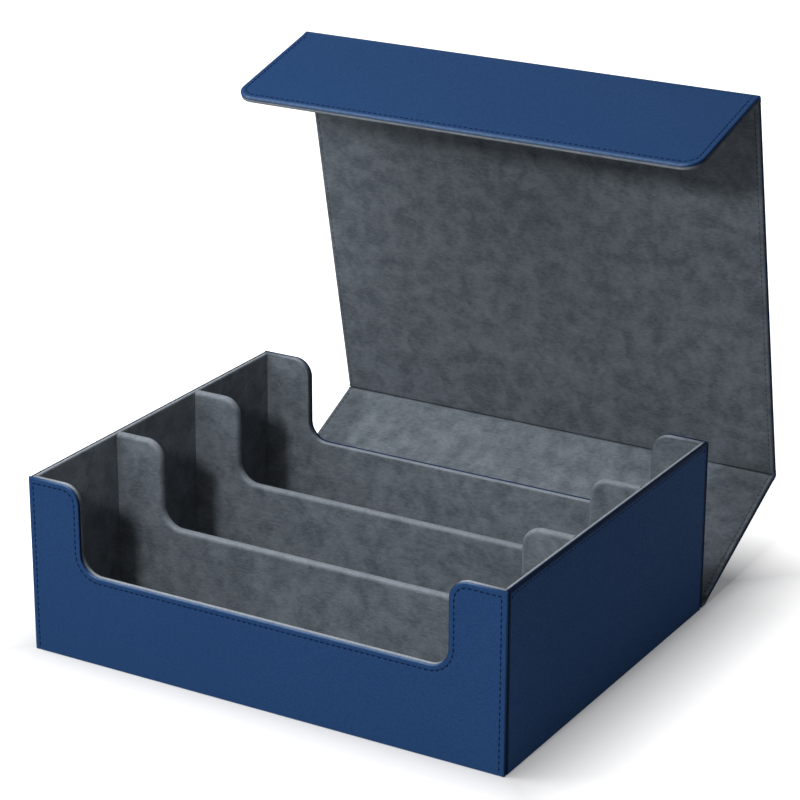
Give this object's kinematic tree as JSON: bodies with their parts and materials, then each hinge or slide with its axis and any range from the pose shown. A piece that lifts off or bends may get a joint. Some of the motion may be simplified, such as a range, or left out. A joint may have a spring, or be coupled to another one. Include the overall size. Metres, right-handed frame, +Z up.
{
  "type": "card storage box",
  "caption": "Three-row card case: a board tray with two notched dividers and a folding lid of back panel, top panel and front flap, leather outside, suede inside.",
  "frame": {"origin": "centre of the tray's underside, on the surface the box stands on", "axes": "X along the card rows, -Y towards the front wall, +Z up; the lid stands open behind the tray, towards +Y"},
  "size_m": [0.3, 0.3433, 0.295],
  "materials": {
    "navy_leather": "fine-grained navy faux leather, satin",
    "grey_suede": "brushed grey microfibre suede",
    "greyboard": "pressed grey bookbinding board",
    "magnet_steel": "nickel-plated disc magnet"
  },
  "bodies": {
    "tray": {"base_board": "greyboard", "front_wall_board": "greyboard", "rear_wall_board": "greyboard", "left_wall_board": "greyboard", "right_wall_board": "greyboard", "front_divider_board": "greyboard", "rear_divider_board": "greyboard", "tray_magnets": "magnet_steel", "base_leather": "navy_leather", "front_leather": "navy_leather", "rear_leather": "navy_leather", "left_leather": "navy_leather", "right_leather": "navy_leather", "front_lining": "grey_suede", "rear_lining": "grey_suede", "left_lining": "grey_suede", "right_lining": "grey_suede", "front_floor_lining": "grey_suede", "middle_floor_lining": "grey_suede", "rear_floor_lining": "grey_suede", "front_divider_lining": "grey_suede", "rear_divider_lining": "grey_suede", "base_crease_leather": "navy_leather", "base_crease_lining": "grey_suede"},
    "back_panel": {"back_panel_board": "greyboard", "back_panel_leather": "navy_leather", "back_panel_lining": "grey_suede", "top_crease_leather": "navy_leather", "top_crease_lining": "grey_suede"},
    "top_panel": {"top_panel_board": "greyboard", "top_panel_leather": "navy_leather", "top_panel_lining": "grey_suede", "flap_crease_leather": "navy_leather", "flap_crease_lining": "grey_suede"},
    "flap": {"flap_board": "greyboard", "flap_leather": "navy_leather", "flap_lining": "grey_suede", "flap_magnets": "magnet_steel"}
  },
  "joints": [
    {"name": "base_fold", "type": "hinge", "parent": "tray", "child": "back_panel", "pos_m": [0, 0.12505, 0], "axis": [1, 0, 0], "range_deg": [-25.4, 64.6], "deforming": ["base_crease_leather", "base_crease_lining"]},
    {"name": "top_fold", "type": "hinge", "parent": "back_panel", "child": "top_panel", "pos_m": [0, 0.22315, 0.04658], "axis": [1, 0, 0], "range_deg": [-76.4, 13.6], "deforming": ["top_crease_leather", "top_crease_lining"]},
    {"name": "flap_fold", "type": "hinge", "parent": "top_panel", "child": "flap", "pos_m": [0, 0.17115, 0.29548], "axis": [1, 0, 0], "range_deg": [-93, 0], "deforming": ["flap_crease_leather", "flap_crease_lining"]}
  ]
}
